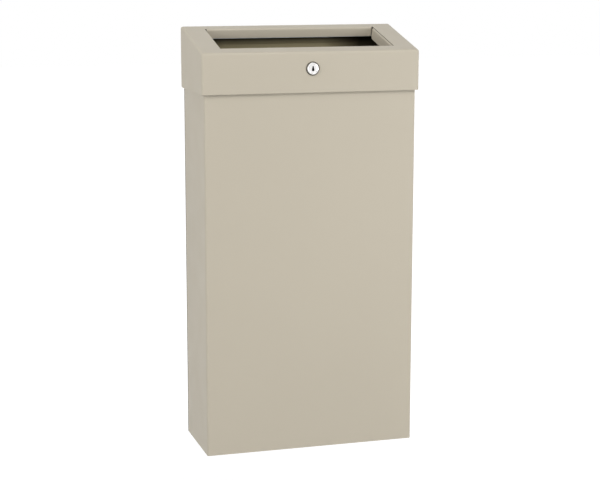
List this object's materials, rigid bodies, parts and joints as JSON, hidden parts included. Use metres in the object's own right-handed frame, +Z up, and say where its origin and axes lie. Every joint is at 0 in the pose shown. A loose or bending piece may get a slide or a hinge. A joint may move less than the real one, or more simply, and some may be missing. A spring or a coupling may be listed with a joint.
{
  "type": "wall-mounted waste bin",
  "caption": "Slim wall-mounted sheet-metal waste bin with a sloping, hinged, lockable cap, a rectangular inlet in its top and a wire bag frame inside.",
  "frame": {"origin": "middle of the four wall fixing holes, on the wall plane", "axes": "+X along the wall, to the right when facing the bin; +Y into the wall; +Z up"},
  "size_m": [0.359, 0.1507, 0.6849],
  "materials": {
    "paint": "satin powder coat",
    "zinc": "zinc plated",
    "chrome": "polished",
    "rubber": "matt"
  },
  "bodies": {
    "bin": {"body_wrap": "paint", "back_panel": "paint", "floor_pan": "paint", "hinge_fixed_leaf": "zinc", "hinge_pin": "zinc", "strike_plate": "zinc", "strike_rivets": "zinc", "bag_hooks_left": "paint", "bag_hooks_right": "paint", "cap_buffers": "rubber"},
    "bag_ring": {"bag_frame": "zinc"},
    "lid": {"lid_shell": "paint", "cheek_left": "paint", "cheek_right": "paint", "hinge_lid_leaf": "zinc", "lock_housing": "chrome", "lock_nut": "zinc", "lock_washer": "zinc"},
    "lock_rotor": {"lock_plug": "chrome", "lock_cam": "zinc", "cam_washer": "zinc", "cam_screw": "zinc"}
  },
  "joints": [
    {"name": "lid_hinge", "type": "hinge", "parent": "bin", "child": "lid", "pos_m": [0, -0.00516, 0.35017], "axis": [-1, 0, 0], "range_deg": [0, 103]},
    {"name": "lock_turn", "type": "hinge", "parent": "lid", "child": "lock_rotor", "pos_m": [0, -0.1485, 0.294], "axis": [0, 1, 0], "range_deg": [0, 90]},
    {"name": "bag_frame_lift", "type": "slide", "parent": "bin", "child": "bag_ring", "axis": [0, 0, 1], "range_m": [0, 0.025]}
  ]
}
